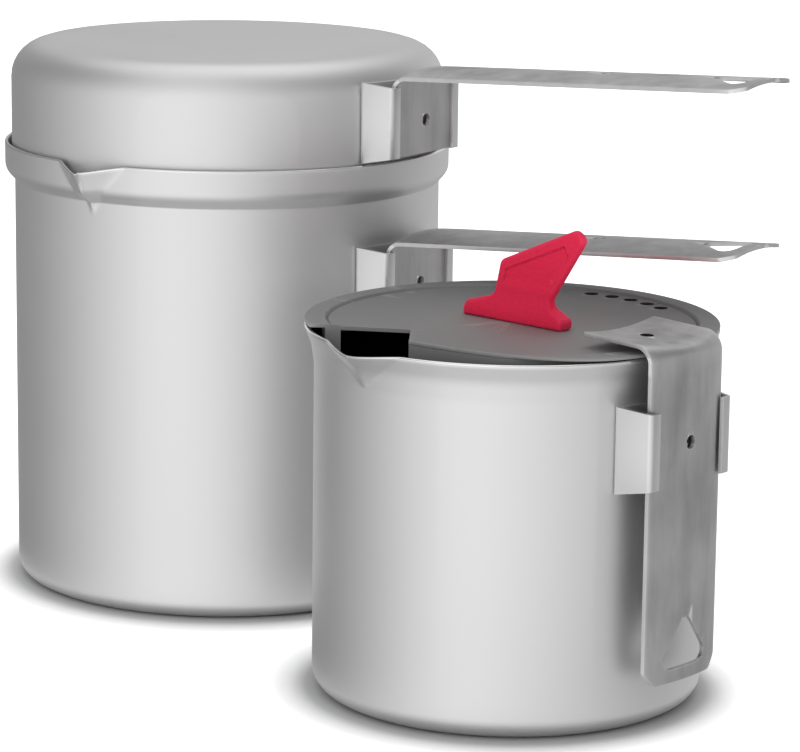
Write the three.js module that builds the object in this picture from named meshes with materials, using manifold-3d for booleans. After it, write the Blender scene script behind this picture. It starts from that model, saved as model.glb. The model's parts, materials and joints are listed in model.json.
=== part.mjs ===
// Nesting cooking pot set for hiking: a large pot with a pan as its lid, a small pot with a
// strainer lid, and three removable L-shaped steel handles that slide into riveted brackets.
// Millimetres, +Z up. The origin is the centre of the large pot's base, on the ground.
import * as THREE from 'three';
import { mergeVertices } from 'three/addons/utils/BufferGeometryUtils.js';
import Module from 'manifold-3d';

const wasm = await Module();
wasm.setup();

// ---------- driving dimensions ----------
const LARGE = { x: 0, y: 0, radius: 57.0, collarRadius: 59.6, height: 118.5, handleAz: -35.4 };
const PAN = { x: 0, y: 0, radius: 57.75, rim: 110.4, top: 145.0, handleAz: -35.0 };
const SMALL = { x: 73.96, y: -109.5, radius: 47.6, rimRadius: 50.0, height: 90.2, handleAz: -41.7 };
const WALL = 0.9; // drawn aluminium wall of the pots and the pan
const LARGE_SPOUT = { az: -124.5, reach: 4.6, halfWidth: 8.3, spread: 1.2, drop: 2.2, bottom: 105.6 };
const CROWDING = 0.6; // how far the wall's segments crowd towards the spout
const SMALL_SPOUT = { az: -137.5, reach: 3.4, halfWidth: 10.5, spread: 1.0, drop: 1.3, bottom: 80.8 };

const SHEET = 1.0; // bracket sheet thickness
const BRACKET_HEIGHT = 21.0;
const BRACKET_ROOT = 16.8; // half width where the wings meet the wall
const BRACKET_FOLD = 15.27; // half width at the folded lips
const LIP_END = 11.9; // half width of the slot between the lips
const STANDOFF = 7.1; // wall to the outer face of the handle strip
const TAPER_LOW = 2.0; // how far the fold stands above the wing root, at the bottom
const TAPER_HIGH = 1.1; // how far the fold stands below the wing root, at the top
const LARGE_BRACKET_Z = 86.6;
const PAN_BRACKET_Z = 129.25;
const SMALL_BRACKET_Z = 68.9;

const STRIP = { halfWidth: 13.37, thickness: 1.0, bend: 4.75, chamfer: 3.2, corner: 0.8 };
// How far each handle is bent past a right angle, in degrees.
const LARGE_RISE = 4.0;
const PAN_RISE = 2.9;
const STORED_RISE = 2.6;
const LONG_LARGE = 101.5;
const LONG_SMALL = 79.8;
const SHORT_LEG = 22.2;
const SHORT_HOLE = 13.7; // detent hole in the short leg, from the long leg's outer face
const LONG_HOLE_LARGE = 55.8; // detent hole in the long leg, from the short leg's outer face
const LONG_HOLE_SMALL = 22.7;
const DETENT_HOLE = 1.65; // radius
const SMALL_HANDLE_TOP = 92.5; // top of the stored handle's corner
const TRIANGLE = { base: 3.2, apex: 16.6, halfWidth: 10.4, corner: 2.4 };

const LID = { top: 91.3, flangeRadius: 50.0, stepRadius: 45.8, sheet: 0.9, step: 0.5, skirtDepth: 7.2 };
const VENTS = { count: 5, radius: 41.3, from: 26.2, step: 8.35, hole: 1.8 };
const GRIP = { az: -44.0, foot: 2.4, blade: 1.15, neck: 2.6, neckHalf: 10.5, lugHalf: 12.0, lug: 2.2 };

const RIVET = { head: 2.7, headHeight: 1.1, shank: 1.7, tail: 2.8, tailHeight: 0.6 };
const RIVET_LOW = -7.0; // height of the spring's rivet from the bracket's middle
const RIVET_SIDE = 9.0; // distance of the two side rivets from the bracket's middle line
const RIVET_HIGH = 2.0; // height of the side rivets from the bracket's middle
const FIT = 0.3; // clearance round pins and edges
const SEAT = 0.08; // gap between two faces that rest on each other
const LEAF = { thickness: 0.45, halfWidth: 3.4, dome: 1.35, domeHeight: 1.36, gap: 0.25, play: 0.3 };

// ---------- materials ----------
const finish = (color, roughness, metalness) =>
  new THREE.MeshStandardMaterial({ color, roughness, metalness });
const potAluminium = finish(0xb9b9ba, 0.48, 0.9);
const bracketAluminium = finish(0xcfcfcf, 0.42, 0.9);
const handleSteel = finish(0x9b9a9b, 0.5, 0.95);
const springSteel = finish(0xa9a8a6, 0.35, 0.95);
const rivetAluminium = finish(0xc4c4c4, 0.4, 0.9);
const lidCoating = finish(0x6f6e70, 0.6, 0.35);
const redSilicone = finish(0xcc2a48, 0.75, 0.0);

// ---------- helpers ----------
const rad = THREE.MathUtils.degToRad;
const clamp01 = (v) => Math.min(1, Math.max(0, v));
const smooth = (v) => clamp01(v) * clamp01(v) * (3 - 2 * clamp01(v));

function toSolid(geometry) {
  const bare = geometry.index ? geometry.clone() : geometry;
  bare.deleteAttribute('normal');
  bare.deleteAttribute('uv');
  const merged = mergeVertices(bare, 1e-4);
  return new wasm.Manifold(new wasm.Mesh({
    numProp: 3,
    vertProperties: new Float32Array(merged.attributes.position.array),
    triVerts: new Uint32Array(merged.index.array),
  }));
}

function toGeometry(solid) {
  const mesh = solid.getMesh();
  const geometry = new THREE.BufferGeometry();
  geometry.setAttribute('position', new THREE.BufferAttribute(new Float32Array(mesh.vertProperties), 3));
  geometry.setIndex(new THREE.BufferAttribute(new Uint32Array(mesh.triVerts), 1));
  geometry.computeVertexNormals();
  return geometry;
}

// Turns a closed profile of [radius, height] points round the Z axis.
function lathe(profile, segments) {
  const points = profile.map(([r, z]) => new THREE.Vector2(r, z));
  return new THREE.LatheGeometry(points, segments).rotateX(Math.PI / 2);
}

function extrude(points, depth, holes = []) {
  const shape = new THREE.Shape(points.map(([x, y]) => new THREE.Vector2(x, y)));
  for (const hole of holes) {
    shape.holes.push(new THREE.Path(hole.map(([x, y]) => new THREE.Vector2(x, y))));
  }
  return new THREE.ExtrudeGeometry(shape, { depth, bevelEnabled: false, curveSegments: 1 });
}

// Stands an (x, z) outline on edge and centres its thickness on y = 0.
function slab(points, thickness) {
  return extrude(points, thickness).rotateX(Math.PI / 2).translate(0, thickness / 2, 0);
}

// A pin along +X from x0 to x1 at height z.
function pinX(radius, x0, x1, y, z, sides = 12) {
  return new THREE.CylinderGeometry(radius, radius, x1 - x0, sides)
    .rotateZ(Math.PI / 2).translate((x0 + x1) / 2, y, z);
}

// Moves a piece from its own frame (X pointing out of the wall) to a vessel's side.
function place(geometry, vessel, azimuth) {
  return geometry.rotateZ(rad(azimuth)).translate(vessel.x, vessel.y, 0);
}

function displace(geometry, move) {
  const position = geometry.attributes.position;
  const point = new THREE.Vector3();
  for (let i = 0; i < position.count; i += 1) {
    point.fromBufferAttribute(position, i);
    move(point);
    position.setXYZ(i, point.x, point.y, point.z);
  }
  return geometry;
}

// Rounds every corner of an outline by the same radius, or by a list of radii.
function roundedPolygon(corners, radius, steps) {
  const points = [];
  corners.forEach((corner, i) => {
    const here = new THREE.Vector2(...corner);
    const toPrev = new THREE.Vector2(...corners.at(i - 1)).sub(here).normalize();
    const toNext = new THREE.Vector2(...corners[(i + 1) % corners.length]).sub(here).normalize();
    const half = toPrev.angleTo(toNext) / 2;
    const reach = (Array.isArray(radius) ? radius[i] : radius) / Math.tan(half);
    const start = here.clone().addScaledVector(toPrev, reach);
    const end = here.clone().addScaledVector(toNext, reach);
    const curve = new THREE.QuadraticBezierCurve(start, here, end);
    for (const p of curve.getPoints(steps)) points.push([p.x, p.y]);
  });
  return points;
}

const root = new THREE.Group();
function add(name, geometry, material) {
  const mesh = new THREE.Mesh(geometry, material);
  mesh.name = name;
  root.add(mesh);
}

// ---------- pots ----------
// Presses a V-shaped pouring lip outwards: a ridge whose width and reach grow towards the rim.
// The wall's segments are drawn closer together round the lip, where the shape changes fastest.
function pressSpout(geometry, spout, rimZ, wallRadius) {
  return displace(geometry, (p) => {
    const r = Math.hypot(p.x, p.y);
    const turn = Math.atan2(p.y, p.x);
    const packed = Math.abs(Math.abs(turn) - Math.PI) < 1e-6 ? turn : turn - CROWDING * Math.sin(turn);
    p.x = r * Math.cos(packed);
    p.y = r * Math.sin(packed);
    const lift = clamp01((p.z - spout.bottom) / (rimZ - spout.bottom));
    const side = Math.abs(p.y) * (wallRadius / Math.max(r, 1));
    if (lift === 0 || p.x < 0.8 * wallRadius) return;
    const half = spout.halfWidth * (p.y > 0 ? spout.spread : 1) * Math.max(lift, 0.2);
    const push = spout.reach * lift * clamp01(1 - side / half);
    p.x += push;
    p.z -= spout.drop * (push / spout.reach) * lift;
  });
}

// Three rivets per bracket: one low on the middle line, through the spring, and one each side.
function rivetSpots(radius) {
  const turn = RIVET_SIDE / radius;
  return [
    { name: 'rivet_spring', turn: 0, dz: RIVET_LOW },
    { name: 'rivet_left', turn: -turn, dz: RIVET_HIGH },
    { name: 'rivet_right', turn, dz: RIVET_HIGH },
  ];
}

function drillForRivets(solid, radius, centreZ, turn) {
  for (const spot of rivetSpots(radius)) {
    const bit = pinX(RIVET.shank + FIT, radius - 6, radius + 3, 0, centreZ + spot.dz);
    solid = solid.subtract(toSolid(bit.rotateZ(turn + spot.turn)));
  }
  return solid;
}

function largePotBody() {
  const r = LARGE.radius;
  const c = LARGE.collarRadius;
  const h = LARGE.height;
  const skin = [[r - 4.4, 0], [r - 1.3, 1.3], [r, 4.4], [r, 105.4], [r, 108.4], [c - 1.0, 110.1],
    [c - 0.3, 111.3], [c, 112.7], [c, 115.4], [c, h]];
  const inner = skin.slice(2).map(([x, z]) => [x - WALL, z]).reverse();
  const profile = [[0, 0], ...skin, ...inner, [r - 1.9, 2.1], [r - 4.6, WALL], [0, WALL]];
  const shell = pressSpout(lathe(profile, 72), LARGE_SPOUT, h, c);
  return drillForRivets(toSolid(shell), r, LARGE_BRACKET_Z, rad(LARGE.handleAz - LARGE_SPOUT.az));
}

function smallPotBody() {
  const r = SMALL.radius;
  const e = SMALL.rimRadius;
  const h = SMALL.height;
  const skin = [[r - 5, 0], [r - 1.5, 1.5], [r, 5], [r, 79.4], [r + 0.1, 82.2], [r + 0.7, 85.4],
    [r + 1.6, 88.2], [e, h]];
  const inner = skin.slice(2, -1).map(([x, z]) => [x - WALL, z]).reverse();
  const profile = [[0, 0], ...skin, [e - WALL, h], ...inner, [r - 2.1, 2.3], [r - 5.2, WALL], [0, WALL]];
  const shell = pressSpout(lathe(profile, 72), SMALL_SPOUT, h, e);
  return drillForRivets(toSolid(shell), r, SMALL_BRACKET_Z, rad(SMALL.handleAz - SMALL_SPOUT.az));
}

// The pan is drawn the right way up in use; here it is turned over to close the large pot.
function panBody() {
  const r = PAN.radius;
  const t = PAN.top;
  const profile = [[0, t], [r - 9.5, t], [r - 5.8, t - 0.8], [r - 2.8, t - 2.8], [r - 0.8, t - 5.8],
    [r, t - 9.5], [r, PAN.rim], [r - WALL, PAN.rim], [r - WALL, t - 9.6], [r - 1.7, t - 6.2],
    [r - 3.5, t - 3.5], [r - 6.2, t - 1.7], [r - 9.6, t - WALL], [0, t - WALL]].reverse();
  return drillForRivets(toSolid(lathe(profile, 60)), r, PAN_BRACKET_Z, rad(PAN.handleAz));
}

// ---------- brackets ----------
// A bent channel: a base that hugs the wall, two wings and two lips folded over the strip.
function bracket(radius, centreZ) {
  const outer = radius + STANDOFF;
  const arc = (r, half, steps) => Array.from({ length: steps + 1 }, (_, i) => {
    const y = -half + (2 * half * i) / steps;
    return [Math.sqrt(r * r - y * y), y];
  });
  const fold = outer + 0.15;
  const halfLip = [[fold - 0.7, BRACKET_FOLD], [fold, BRACKET_FOLD - 0.7], [fold + 0.1, LIP_END],
    [fold - 0.85, LIP_END], [fold - 1.0, BRACKET_FOLD - 1.2]];
  const mirrored = halfLip.map(([x, y]) => [x, -y]).reverse();
  const section = [...arc(radius + SEAT, BRACKET_ROOT, 10), ...halfLip,
    ...arc(radius + SEAT + SHEET, BRACKET_ROOT - SHEET - 0.1, 10).reverse(), ...mirrored];
  const blank = extrude(section, BRACKET_HEIGHT).translate(0, 0, centreZ - BRACKET_HEIGHT / 2);
  const low = centreZ - BRACKET_HEIGHT / 2;
  const high = centreZ + BRACKET_HEIGHT / 2;
  const rootX = Math.sqrt(radius * radius - BRACKET_ROOT * BRACKET_ROOT);
  const trim = slab([[rootX - 5, low - 1], [rootX, low], [fold + 1, low + TAPER_LOW],
    [fold + 1, high - TAPER_HIGH], [rootX, high], [rootX - 5, high + 1]], 60);
  return toGeometry(drillForRivets(toSolid(blank).intersect(toSolid(trim)), radius, centreZ, 0));
}

// ---------- detent springs ----------
// A leaf held loosely by the low rivet, so it can rock; its dome stands behind the hole in the
// handle strip.
function detentSpring(radius, centreZ) {
  const foot = radius + SEAT + SHEET + LEAF.play;
  const crest = radius + STANDOFF - STRIP.thickness - LEAF.gap - LEAF.domeHeight;
  const t = LEAF.thickness;
  const line = [[foot, -9.6], [foot, -4.1], [foot + 0.4, -3.5], [crest - 0.6, -1.9], [crest, -1.2],
    [crest, 1.8], [crest - 0.5, 2.6], [crest - 1.6, 3.6]];
  const back = line.map(([x, z]) => [x + t, z]).reverse();
  const outline = [...line, ...back].map(([x, z]) => [x, z + centreZ]);
  const leaf = toSolid(slab(outline, 2 * LEAF.halfWidth));
  const d = LEAF.dome;
  const dome = new THREE.SphereGeometry(d, 12, 6).scale(LEAF.domeHeight / d, 1, 1)
    .translate(crest, 0, centreZ);
  const cutter = new THREE.BoxGeometry(6, 6, 6).translate(crest - 2.9, 0, centreZ);
  const cap = toSolid(dome).subtract(toSolid(cutter));
  const hole = pinX(RIVET.shank + FIT, foot - 2, foot + 2, 0, centreZ + RIVET_LOW);
  return toGeometry(leaf.add(cap).subtract(toSolid(hole)));
}

// ---------- rivets ----------
// Domed head outside, shank through spring, bracket and wall, flat tail inside the vessel.
function rivet(radius, z, grip) {
  const seat = radius + SEAT + SHEET + SEAT + grip;
  const tail = Math.sqrt((radius - WALL) ** 2 - RIVET.tail ** 2) - 0.12;
  const { head, headHeight, shank, tail: t, tailHeight } = RIVET;
  const profile = [[0, tail - tailHeight], [t - 0.3, tail - tailHeight], [t, tail],
    [shank, tail], [shank, seat], [head, seat], [head * 0.75, seat + headHeight * 0.8],
    [0, seat + headHeight]];
  return lathe(profile, 10).rotateY(Math.PI / 2).translate(0, 0, z);
}

// ---------- handles ----------
// One strip bent to an L. The long leg runs down from the corner at x = 0, z = 0 and the short
// leg runs towards -X and slightly up. The strip is dished, and the dish flips at the bend, so
// each leg lies parallel to the round wall when it is the leg in the bracket.
function handle(longLeg, shortLeg, dishRadius, longHole, riseAngle) {
  const { halfWidth, thickness, bend, chamfer, corner } = STRIP;
  const rise = rad(riseAngle);
  const along = new THREE.Vector2(-Math.cos(rise), Math.sin(rise));
  const longRows = [0, chamfer / 2, chamfer, TRIANGLE.apex, longLeg / 2, longLeg - bend - 1.5];
  const endRows = [1, 0.65, 0.3, 0].map((f) => shortLeg - f * corner);
  const shortRows = [bend + 1.5, shortLeg / 2, ...endRows];
  const bendRows = 5;
  const rows = longRows.length + bendRows + shortRows.length;
  const columns = 8;
  const sheet = new THREE.BoxGeometry(rows - 1, columns, 1, rows - 1, columns, 1);
  const sag = (t) => dishRadius - Math.sqrt(dishRadius * dishRadius - t * t);
  const half = Math.tan((Math.PI / 2 - rise) / 2);
  const shortFrom = rows - shortRows.length;
  // The long leg's end is cut off at 45 degrees; the short leg's corners are round.
  const narrowing = (row) => {
    if (row < longRows.length) return Math.max(0, chamfer - longRows[row]);
    if (row < shortFrom) return 0;
    const inside = Math.min(corner, Math.max(0, corner - shortLeg + shortRows[row - shortFrom]));
    return corner - Math.sqrt(corner * corner - inside * inside);
  };
  displace(sheet, (p) => {
    const row = Math.round(p.x + (rows - 1) / 2);
    const depth = p.z > 0 ? thickness : 0;
    const t = (p.y / (columns / 2)) * (halfWidth - narrowing(row));
    const s = sag(t);
    if (row < longRows.length) {
      p.set(-s - depth, t, longRows[row] - longLeg);
    } else if (row >= shortFrom) {
      const reach = shortRows[row - shortFrom];
      const z = s + along.y * (reach - s) - depth * Math.cos(rise);
      p.set(along.x * reach - depth * Math.sin(rise), t, z);
    } else {
      const middle = new THREE.Vector2(-s - depth, s - depth * half);
      const tangent = bend - depth * half;
      const start = new THREE.Vector2(middle.x, middle.y - tangent);
      const end = middle.clone().addScaledVector(along, tangent);
      const f = (row - longRows.length) / (bendRows - 1);
      const q = new THREE.QuadraticBezierCurve(start, middle, end).getPoint(f);
      p.set(q.x, t, q.y);
    }
  });
  let solid = toSolid(sheet);
  const triangle = roundedPolygon([[-TRIANGLE.halfWidth, TRIANGLE.base - longLeg],
    [TRIANGLE.halfWidth, TRIANGLE.base - longLeg], [0, TRIANGLE.apex - longLeg]], TRIANGLE.corner, 4);
  const window = extrude(triangle, 20).rotateX(Math.PI / 2).rotateZ(Math.PI / 2).translate(-10, 0, 0);
  solid = solid.subtract(toSolid(window));
  solid = solid.subtract(toSolid(pinX(DETENT_HOLE, -8, 4, 0, -longHole)));
  const shortBit = new THREE.CylinderGeometry(DETENT_HOLE, DETENT_HOLE, 12, 12).rotateX(Math.PI / 2);
  solid = solid.subtract(toSolid(shortBit.translate(-SHORT_HOLE, 0, 0)));
  return toGeometry(solid);
}

// Handle in use: the short leg points down in the bracket, the long leg sticks out.
function handleInUse(radius, bracketZ, rise) {
  const outer = radius + STANDOFF;
  return handle(LONG_LARGE, SHORT_LEG, outer, LONG_HOLE_LARGE, rise)
    .rotateY(-rad(90 + rise)).translate(outer - STRIP.thickness, 0, bracketZ + SHORT_HOLE);
}

// ---------- small lid ----------
// Plan radius of the lid's edge and of its skirt. Both run in towards the notch on one side,
// which leaves a crescent gap for draining water.
function drainPull(azimuth) {
  return smooth((-62 - azimuth) / 66);
}

function lidPlate() {
  const steps = 60;
  const start = 3;
  const ring = (radiusAt, to = steps) => Array.from({ length: to }, (_, i) => {
    const az = start + (360 * i) / steps;
    const signed = az > 180 ? az - 360 : az;
    const r = radiusAt(signed);
    return [r * Math.cos(rad(signed)), r * Math.sin(rad(signed))];
  });
  const near = (az) => (az < -62 && az > -150 ? drainPull(az) : 0);
  const flangeAt = (az) => LID.flangeRadius - 8.8 * near(az);
  const skirtAt = (az) => Math.min(LID.stepRadius, LID.flangeRadius - 8.8 * near(az));
  const flange = extrude(ring(flangeAt), LID.sheet).translate(0, 0, LID.top - LID.sheet);
  const recess = extrude(ring((az) => skirtAt(az) - 0.6), 2).translate(0, 0, LID.top - LID.step);
  const floor = extrude(ring((az) => skirtAt(az)), LID.sheet + 0.2)
    .translate(0, 0, LID.top - LID.step - LID.sheet);
  const skirt = extrude(ring(skirtAt), LID.skirtDepth, [ring((az) => skirtAt(az) - 0.8)])
    .translate(0, 0, LID.top - LID.sheet - LID.skirtDepth + 0.3);
  let solid = toSolid(flange).add(toSolid(floor)).subtract(toSolid(recess)).add(toSolid(skirt));
  const flap = extrude([[-44.8, -11.9], [-41.0, -12.3], [-41.0, -13.1], [-44.5, -12.8]],
    LID.skirtDepth + 0.4).translate(0, 0, LID.top - LID.skirtDepth - 0.6);
  solid = solid.add(toSolid(flap));
  const notch = roundedPolygon([[-24.4, -13.8], [-62, -10.9], [-62, -62], [-25.6, -62]], 0.9, 3);
  solid = solid.subtract(toSolid(extrude(notch, 30).translate(0, 0, LID.top - 20)));
  for (let i = 0; i < VENTS.count; i += 1) {
    const az = rad(VENTS.from + VENTS.step * i);
    const vent = new THREE.CylinderGeometry(VENTS.hole, VENTS.hole, 12, 10).rotateX(Math.PI / 2);
    vent.translate(VENTS.radius * Math.cos(az), VENTS.radius * Math.sin(az), LID.top);
    solid = solid.subtract(toSolid(vent));
  }
  const slot = new THREE.BoxGeometry(2 * (GRIP.neckHalf + FIT), GRIP.neck + 2 * FIT, 12);
  solid = solid.subtract(toSolid(slot.rotateZ(rad(GRIP.az)).translate(0, 0, LID.top)));
  return toGeometry(solid);
}

// ---------- silicone grip ----------
// An upright fin on a thicker foot; a neck passes the lid's slot and lugs lock below it.
function lidGrip() {
  const corners = [[-14.3, 0], [-14.0, 3.4], [-5.3, 5.8], [-3.3, 14.6], [20.3, 24.6], [23.5, 22.6],
    [12.2, 5.7], [17.6, 2.4], [17.2, 0]];
  const radii = [0.3, 2.0, 2.5, 2.2, 1.6, 1.8, 1.8, 1.2, 0.6];
  const { foot, blade } = GRIP;
  const base = LID.top - LID.step + SEAT;
  const full = slab(roundedPolygon(corners, radii, 3).reverse(), 2 * foot);
  const taper = extrude([[-foot, -1], [foot, -1], [foot, 1.5], [blade, 7.5], [blade, 26],
    [-blade, 26], [-blade, 7.5], [-foot, 1.5]], 60).rotateX(Math.PI / 2).rotateZ(Math.PI / 2);
  const fin = toSolid(full).intersect(toSolid(taper.translate(-30, 0, 0))).translate(0, 0, base);
  const neck = new THREE.BoxGeometry(2 * GRIP.neckHalf, GRIP.neck, LID.sheet + 1.2)
    .translate(0, 0, base - LID.sheet / 2 - 0.1);
  const under = LID.top - LID.step - LID.sheet - SEAT;
  const lug = new THREE.BoxGeometry(2 * GRIP.lugHalf, 2 * foot, GRIP.lug)
    .translate(0, 0, under - GRIP.lug / 2);
  return toGeometry(fin.add(toSolid(neck)).add(toSolid(lug)));
}

// ---------- assembly ----------
function addSide(prefix, vessel, centreZ) {
  const { radius, handleAz } = vessel;
  add(`${prefix}_bracket`, place(bracket(radius, centreZ), vessel, handleAz), bracketAluminium);
  add(`${prefix}_detent_spring`, place(detentSpring(radius, centreZ), vessel, handleAz), springSteel);
  for (const spot of rivetSpots(radius)) {
    const grip = spot.turn === 0 ? LEAF.thickness + 2 * LEAF.play - SEAT : 0;
    const pin = rivet(radius, centreZ + spot.dz, grip).rotateZ(spot.turn);
    add(`${prefix}_${spot.name}`, place(pin, vessel, handleAz), rivetAluminium);
  }
}

add('large_pot_body', place(toGeometry(largePotBody()), LARGE, LARGE_SPOUT.az), potAluminium);
addSide('large_pot', LARGE, LARGE_BRACKET_Z);
const largeHandle = handleInUse(LARGE.radius, LARGE_BRACKET_Z, LARGE_RISE);
add('large_pot_handle', place(largeHandle, LARGE, LARGE.handleAz), handleSteel);

add('pan_body', place(toGeometry(panBody()), PAN, 0), potAluminium);
addSide('pan', PAN, PAN_BRACKET_Z);
const panHandle = handleInUse(PAN.radius, PAN_BRACKET_Z, PAN_RISE);
add('pan_handle', place(panHandle, PAN, PAN.handleAz), handleSteel);

add('small_pot_body', place(toGeometry(smallPotBody()), SMALL, SMALL_SPOUT.az), potAluminium);
addSide('small_pot', SMALL, SMALL_BRACKET_Z);
const smallOuter = SMALL.radius + STANDOFF;
const storedHandle = handle(LONG_SMALL, SHORT_LEG, smallOuter, LONG_HOLE_SMALL, STORED_RISE)
  .translate(smallOuter, 0, SMALL_HANDLE_TOP);
add('small_pot_handle', place(storedHandle, SMALL, SMALL.handleAz), handleSteel);

add('small_lid_plate', place(lidPlate(), SMALL, 0), lidCoating);
add('small_lid_grip', place(lidGrip(), SMALL, GRIP.az), redSilicone);

export default root;
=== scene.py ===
"""Camping cooking pot set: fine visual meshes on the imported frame, with studio light and camera."""
import json
import math

import bpy
import bmesh
from mathutils import Matrix, Vector
from mathutils.geometry import delaunay_2d_cdt, intersect_point_line


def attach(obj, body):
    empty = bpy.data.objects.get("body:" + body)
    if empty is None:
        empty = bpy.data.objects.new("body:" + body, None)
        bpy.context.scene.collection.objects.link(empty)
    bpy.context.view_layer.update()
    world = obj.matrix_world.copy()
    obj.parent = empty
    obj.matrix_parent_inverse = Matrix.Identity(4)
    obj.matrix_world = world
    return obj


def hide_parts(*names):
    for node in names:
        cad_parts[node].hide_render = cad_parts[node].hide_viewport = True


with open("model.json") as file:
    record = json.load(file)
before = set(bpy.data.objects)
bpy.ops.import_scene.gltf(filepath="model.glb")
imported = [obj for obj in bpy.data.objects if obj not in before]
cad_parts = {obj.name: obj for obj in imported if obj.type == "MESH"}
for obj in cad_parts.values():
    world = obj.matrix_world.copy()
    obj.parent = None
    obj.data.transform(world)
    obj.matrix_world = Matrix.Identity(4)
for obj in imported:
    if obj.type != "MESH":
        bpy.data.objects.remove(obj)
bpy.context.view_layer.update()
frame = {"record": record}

# ---------- dimensions, in millimetres as in the CAD ----------
MOUNTS = {m["name"]: m["pos_m"] for m in frame["record"]["mounts"]}
SMALL_X = MOUNTS["small_pot_base"][0] * 1000
SMALL_Y = MOUNTS["small_pot_base"][1] * 1000
LARGE = dict(x=0, y=0, radius=57.0, collar=59.6, height=118.5, az=-35.4, bracket=86.6)
PAN = dict(x=0, y=0, radius=57.75, rim=110.4, top=145.0, az=-35.0, bracket=129.25)
SMALL = dict(x=SMALL_X, y=SMALL_Y, radius=47.6, rim=50.0, height=90.2, az=-41.7, bracket=68.9)
WALL = 0.9
LARGE_SPOUT = dict(az=-124.5, reach=4.6, half=8.3, drop=2.2, bottom=105.6, ridge=0.2,
                   valley=(0.05, 0.4), spread=1.2)
SMALL_SPOUT = dict(az=-137.5, reach=3.4, half=10.5, drop=1.3, bottom=80.8, ridge=0.3,
                   valley=(0.18, 0.25), spread=1.0)
# A lip starts where x is this part of the radius, and is never narrower than this part of its width.
LIP_ZONE, LIP_NARROWEST = 0.8, 0.12
# How far the mesh round a vessel crowds towards its lip.
CROWDING = 0.72
# The thickness of a bracket's sheet, and the distance of a strip's outer face from the wall.
SHEET = 1.0
STANDOFF = 7.1
BRACKET = dict(height=21.0, root=16.8, fold=15.27, lip=11.9, low=2.0, high=1.1, gap=0.15, flare=0.1)
STRIP = dict(half=13.37, thick=1.0, bend=4.75, tight=2.3, run=1.2, chamfer=3.2, corner=0.8)
RISE, PAN_RISE, STORED_RISE = math.radians(4), math.radians(2.9), math.radians(2.6)
# How much of the dish across a strip its short leg keeps.
DISH = 0.75
LONG_LARGE, LONG_SMALL, SHORT_LEG = 101.5, 79.8, 22.2
HOLE_SHORT, HOLE_LONG_LARGE, HOLE_LONG_SMALL, HOLE_RADIUS = 13.7, 55.8, 22.7, 1.65
# How far out a hole's painted shade reaches over its rounded edge.
BORE_EDGE = 0.15
SMALL_HANDLE_TOP = 92.5
TRIANGLE = dict(base=3.2, apex=16.6, half=10.4, corner=2.4)
LID = dict(top=91.3, flange=50.0, step=45.8, sheet=0.9, drop=0.5, skirt=7.2)
# The lid's edge runs in by a depth between two azimuths, which leaves the drain gap.
DRAIN = dict(depth=8.8, low=-150, high=-62, run=66)
NOTCH = [(-24.4, -13.8), (-62, -10.9), (-62, -62), (-25.6, -62)]
NOTCH_CORNER = 0.9
FLAP = [(-44.8, -11.9), (-41.0, -12.3), (-41.0, -13.1), (-44.5, -12.8)]
VENTS = dict(count=5, first=26.2, step=8.35, ring=41.3, hole=1.8)
# The lid stands up by a height at two azimuths, and less up to a reach in degrees to either side.
WARPS = [dict(az=-128, height=1.1, reach=80), dict(az=80, height=0.2, reach=95)]
WARP_START, WARP_RUN = 16, 32
GRIP_AZ = -44.0
GRIP = dict(foot=2.4, blade=1.15, round=0.8, recess=0.42, neck=10.5, lug=12.0, slot=10.8,
            neck_half=1.3, lug_half=2.2, slot_half=1.6)
# The grip's outline and the sunk panel on its sides, along the grip and up from the lid.
FIN = [(-14.3, 0), (-14.0, 3.4), (-5.3, 5.8), (-3.3, 14.6), (20.3, 24.6), (23.5, 22.6), (12.2, 5.7),
       (17.6, 2.4), (17.2, 0)]
FIN_ROUNDING = [0.3, 2.0, 2.5, 2.2, 1.6, 1.8, 1.8, 1.2, 0.6]
PANEL = [(-2.9, 8.4), (-1.7, 12.7), (17.3, 20.6), (18.3, 18.6)]
PANEL_ROUNDING = [0, 0.8, 0.8, 0]
RIVET = dict(head=2.7, height=1.1, shank=1.7, tail=2.8, tail_height=0.6, tail_gap=0.12, low=-7.0,
             side=9.0, high=2.0)
# The spring's foot, heel, knee, crest and tip are heights from the middle of its dome.
LEAF = dict(thick=0.45, half=3.4, dome=1.35, height=1.36, gap=0.25, play=0.3, corner=1.2, foot=-9.6,
            heel=-3.9, knee=-1.7, crest=1.9, tip=3.6, tuck=1.4)
# The gap between pieces that rest on each other.
SEAT = 0.08
SOFTEN = dict(bracket=0.16, handle=0.34, lid=0.14, neck=0.3)
# Edges sharper than these angles, in degrees, keep a crease or get rounded.
CREASE, SOFT_CREASE, ROUNDED = 32, 50, 38


# ---------- small helpers ----------
def clamp01(v):
    """A number held between 0 and 1."""
    return min(1.0, max(0.0, v))


def smooth(v):
    """An S-curve from 0 to 1."""
    v = clamp01(v)
    return v * v * (3 - 2 * v)


def fillet(points, radii, steps=6, closed=False):
    """Rounds the corners of a polyline of 2-D points. A radius of 0 keeps a corner."""
    out = []
    count = len(points)
    for i, p in enumerate(points):
        ends = not closed and i in (0, count - 1)
        if ends or radii[i] <= 0:
            out.append(tuple(p))
            continue
        here = Vector(p)
        a = Vector(points[i - 1]) - here
        b = Vector(points[(i + 1) % count]) - here
        half = a.angle(b) / 2
        reach = min(radii[i] / math.tan(half), 0.49 * a.length, 0.49 * b.length)
        radius = reach * math.tan(half)
        a.normalize()
        b.normalize()
        centre = here + (a + b).normalized() * (radius / math.sin(half))
        start = here + a * reach - centre
        end = here + b * reach - centre
        turn = start.angle_signed(end)
        for k in range(steps + 1):
            out.append(tuple(centre + Matrix.Rotation(-turn * k / steps, 2) @ start))
    return out


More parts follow.
